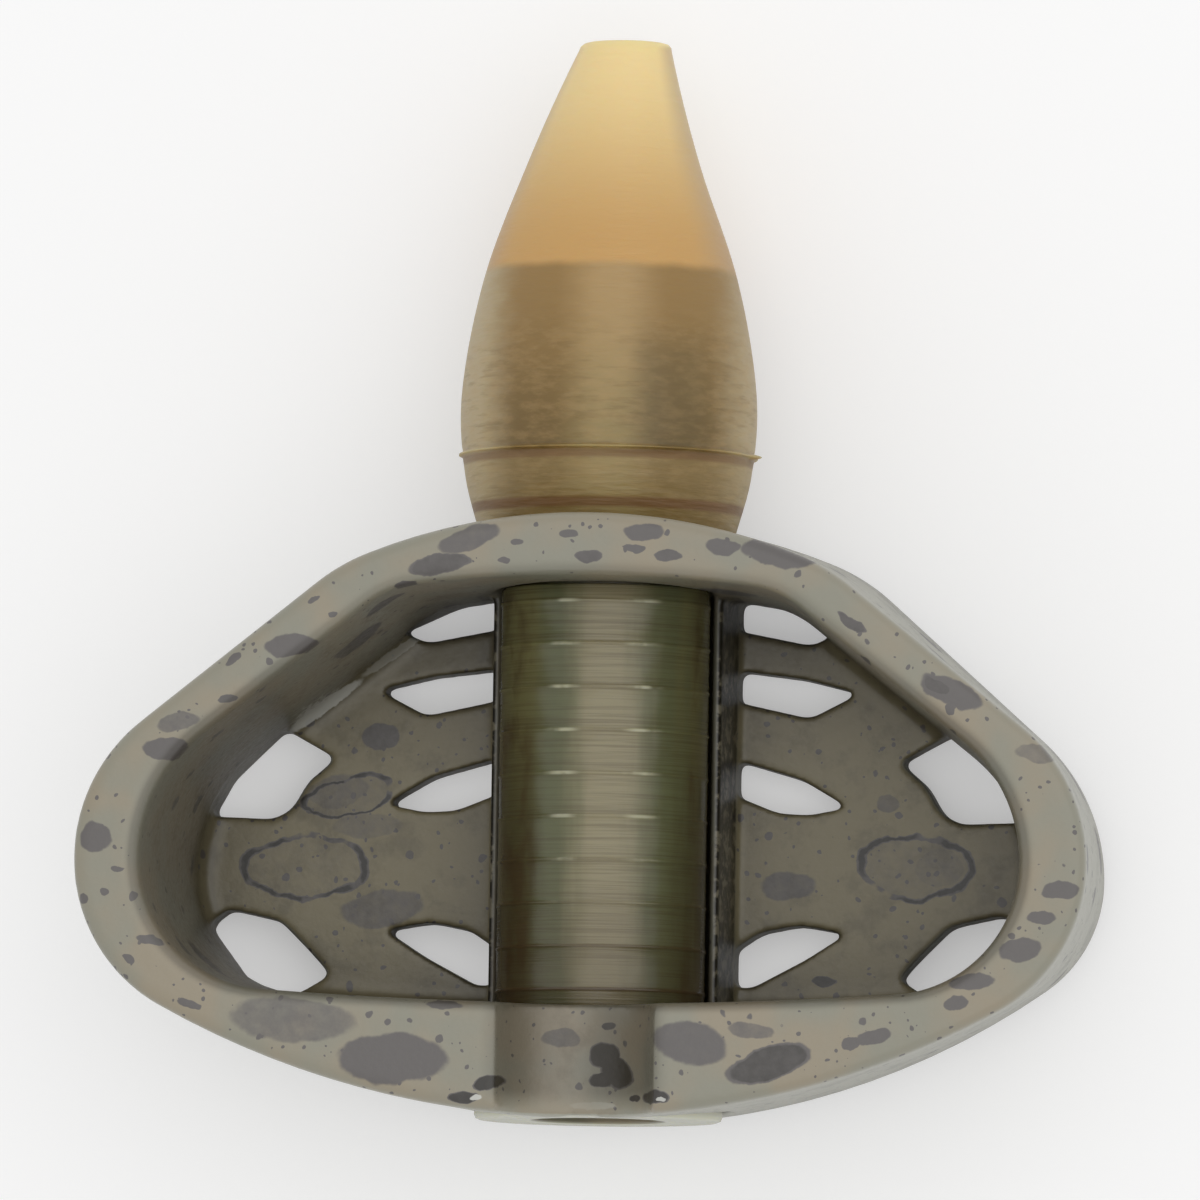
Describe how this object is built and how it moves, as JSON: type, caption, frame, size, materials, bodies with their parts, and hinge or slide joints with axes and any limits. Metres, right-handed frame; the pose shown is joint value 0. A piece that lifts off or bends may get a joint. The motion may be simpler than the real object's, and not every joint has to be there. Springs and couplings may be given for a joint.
{
  "type": "fishing feeder",
  "caption": "Open cast feeder dish with a flat slotted back, a ringed stem tube along its middle and a tapered tail rubber on the stem's end.",
  "frame": {"origin": "on the flat back of the dish, under the middle line of the stem", "axes": "+Y along the stem towards the tail rubber's tip, +Z out of the open dish, +X across the dish"},
  "size_m": [0.0508, 0.0546, 0.018],
  "materials": {
    "coated_casting": "satin camouflage coat on a lead casting",
    "olive_plastic": "glossy, slightly translucent",
    "amber_rubber": "soft satin, slightly translucent"
  },
  "bodies": {
    "feeder": {"feeder_body": "coated_casting"},
    "stem": {"stem_tube": "olive_plastic"},
    "rubber": {"tail_rubber": "amber_rubber"}
  },
  "joints": [
    {"name": "stem_pull", "type": "slide", "parent": "feeder", "child": "stem", "axis": [0, -1, 0], "range_m": [0, 0.044]},
    {"name": "rubber_pull", "type": "slide", "parent": "feeder", "child": "rubber", "axis": [0, 1, 0], "range_m": [0, 0.0145]}
  ]
}
